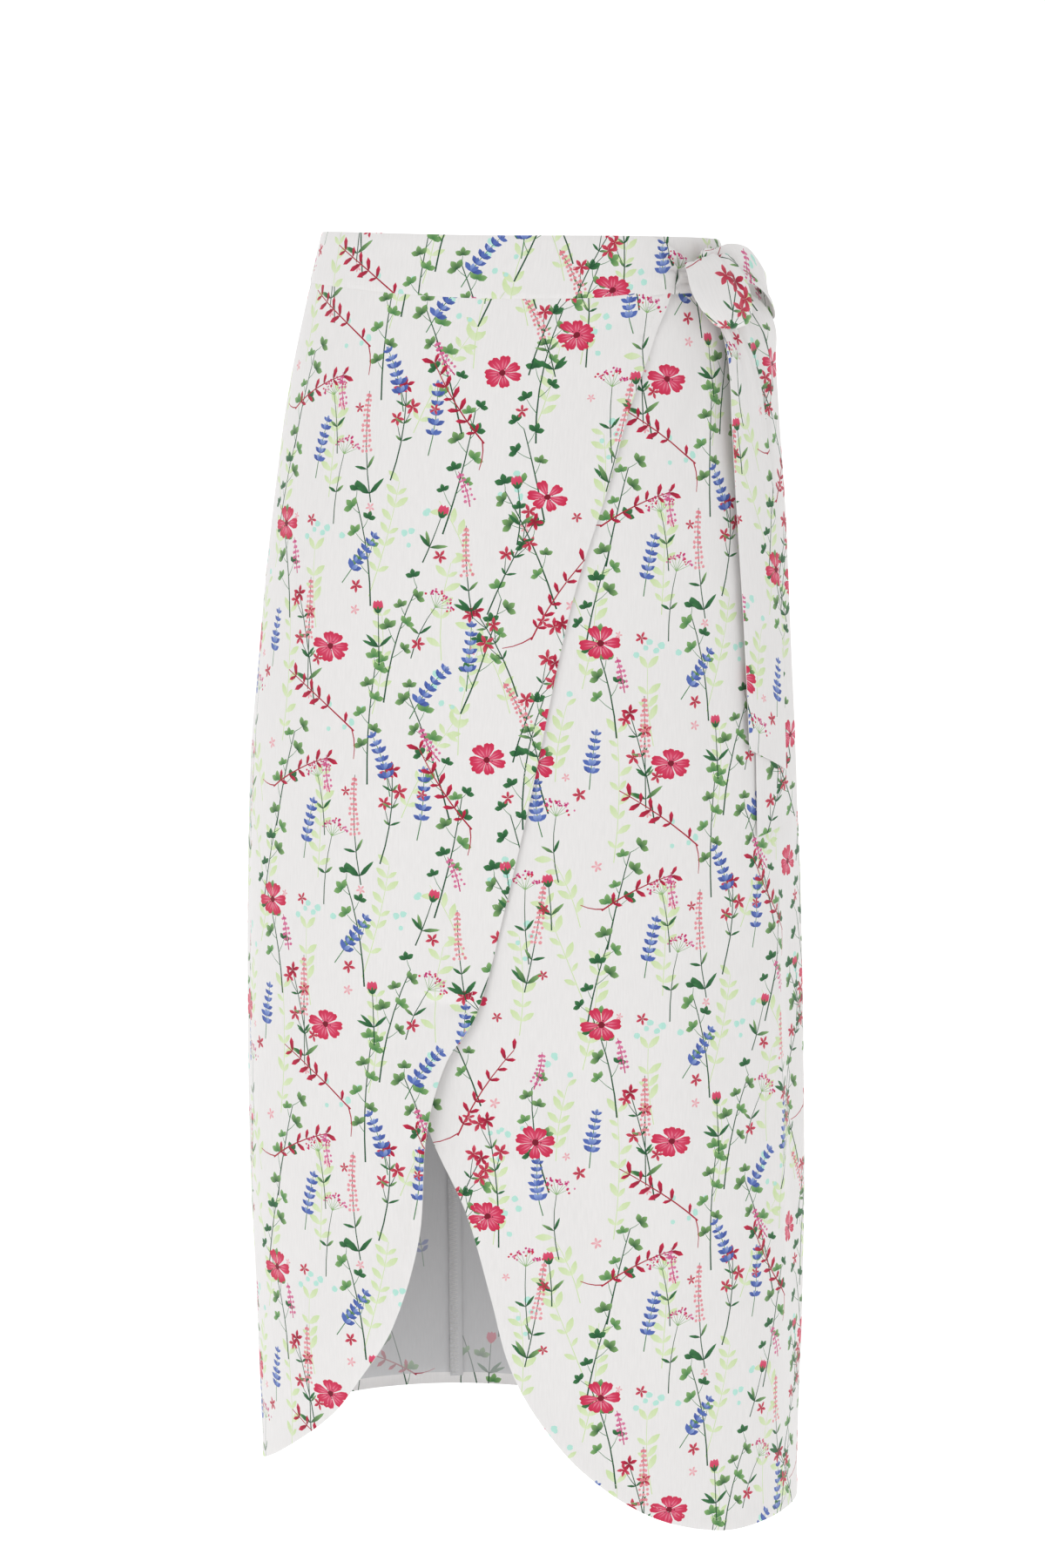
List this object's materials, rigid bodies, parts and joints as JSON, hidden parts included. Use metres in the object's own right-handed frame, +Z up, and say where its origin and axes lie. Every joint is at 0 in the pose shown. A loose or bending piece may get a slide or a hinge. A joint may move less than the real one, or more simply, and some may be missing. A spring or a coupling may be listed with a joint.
{
  "type": "wrap skirt",
  "caption": "Long wrap skirt filled out as it is worn, with crossed front panels, rounded hems, a shaped waistband and a tied side bow.",
  "frame": {"origin": "the middle of the waist, inside the waistband, where the wearer holds the skirt up", "axes": "+Z up along the length of the skirt, front faces -Y, the tied bow is on the +X side"},
  "size_m": [0.3805, 0.2497, 0.8683],
  "materials": {
    "panel_cloth": "off-white woven viscose with a small-flowered print, soft and matt",
    "band_cloth": "the same printed viscose, two layers, stiffened",
    "tie_cloth": "the same printed viscose, two layers, turned and pressed"
  },
  "bodies": {
    "root": {"back_left": "panel_cloth", "back_right": "panel_cloth", "bow_loop_hanging": "tie_cloth", "bow_loop_side": "tie_cloth", "front_over": "panel_cloth", "front_under": "panel_cloth", "tie_knot": "tie_cloth", "tie_tail_front": "tie_cloth", "tie_tail_side": "tie_cloth", "waistband_back": "band_cloth", "waistband_over": "band_cloth", "waistband_under": "band_cloth"}
  },
  "joints": []
}
